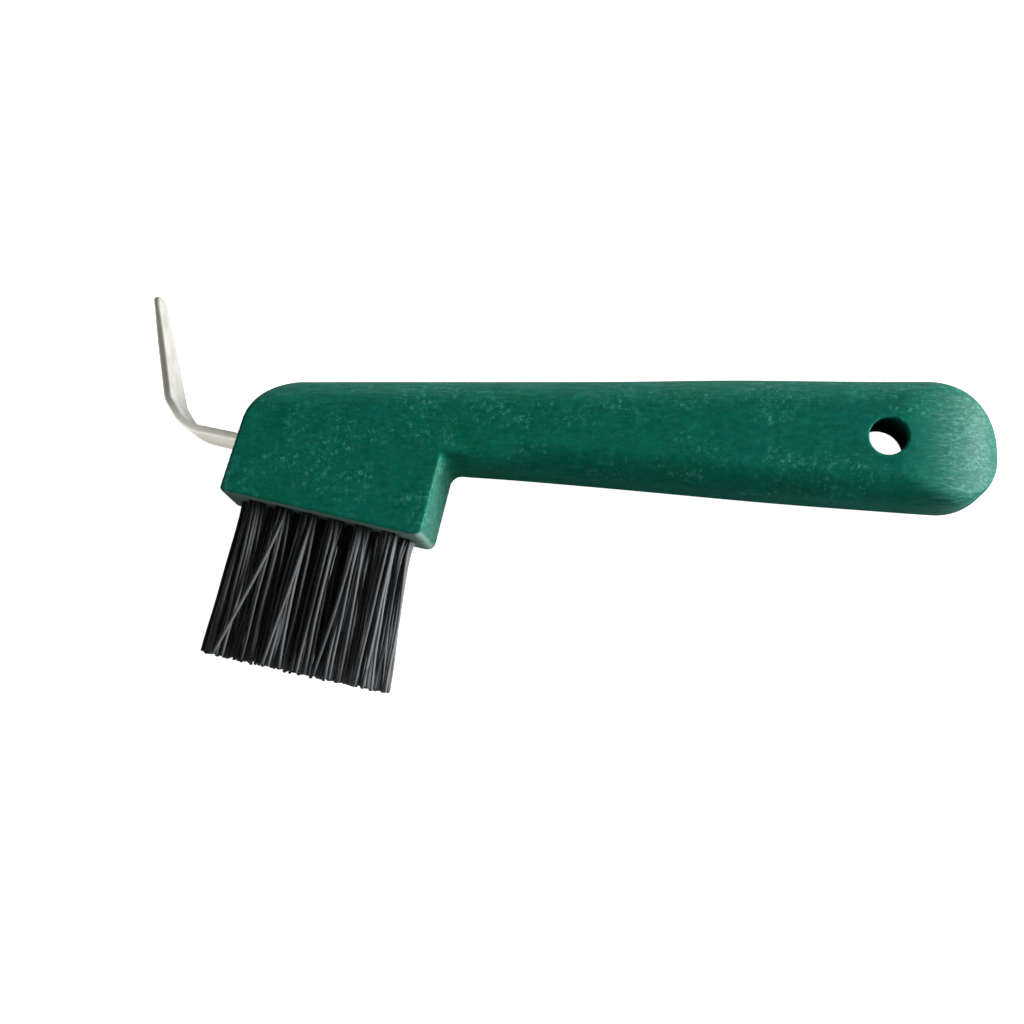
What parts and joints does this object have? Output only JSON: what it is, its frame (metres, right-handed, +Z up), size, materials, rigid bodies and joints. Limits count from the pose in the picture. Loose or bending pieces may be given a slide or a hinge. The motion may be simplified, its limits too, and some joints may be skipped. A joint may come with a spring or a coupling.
{
  "type": "hoof pick with brush",
  "caption": "One-piece plastic handle with a slanted brush head, stiff bristle tufts and a bent flat steel pick for cleaning hooves.",
  "frame": {"origin": "middle of the footprint, on the surface that the pick lies on", "axes": "+X along the handle towards the hanging hole, +Y away from the bristles, towards the point of the hook, +Z up through the thickness"},
  "size_m": [0.1768, 0.0836, 0.02],
  "materials": {
    "green_plastic": "moulded dark green plastic with pale flecks and fine sanding lines along the handle",
    "steel": "plain bright steel strip, slightly worn, with dark sheared edges",
    "bristle": "stiff black synthetic filament with a soft grey sheen",
    "anchor_wire": "flat galvanised wire, hidden in the head"
  },
  "bodies": {
    "root": {"handle": "green_plastic", "hook": "steel", "tuft_low_1": "bristle", "anchor_low_1": "anchor_wire", "tuft_low_2": "bristle", "anchor_low_2": "anchor_wire", "tuft_low_3": "bristle", "anchor_low_3": "anchor_wire", "tuft_low_4": "bristle", "anchor_low_4": "anchor_wire", "tuft_low_5": "bristle", "anchor_low_5": "anchor_wire", "tuft_low_6": "bristle", "anchor_low_6": "anchor_wire", "tuft_mid_1": "bristle", "anchor_mid_1": "anchor_wire", "tuft_mid_2": "bristle", "anchor_mid_2": "anchor_wire", "tuft_mid_3": "bristle", "anchor_mid_3": "anchor_wire", "tuft_mid_4": "bristle", "anchor_mid_4": "anchor_wire", "tuft_mid_5": "bristle", "anchor_mid_5": "anchor_wire", "tuft_mid_6": "bristle", "anchor_mid_6": "anchor_wire", "tuft_mid_7": "bristle", "anchor_mid_7": "anchor_wire", "tuft_top_1": "bristle", "anchor_top_1": "anchor_wire", "tuft_top_2": "bristle", "anchor_top_2": "anchor_wire", "tuft_top_3": "bristle", "anchor_top_3": "anchor_wire", "tuft_top_4": "bristle", "anchor_top_4": "anchor_wire", "tuft_top_5": "bristle", "anchor_top_5": "anchor_wire", "tuft_top_6": "bristle", "anchor_top_6": "anchor_wire"}
  },
  "joints": []
}
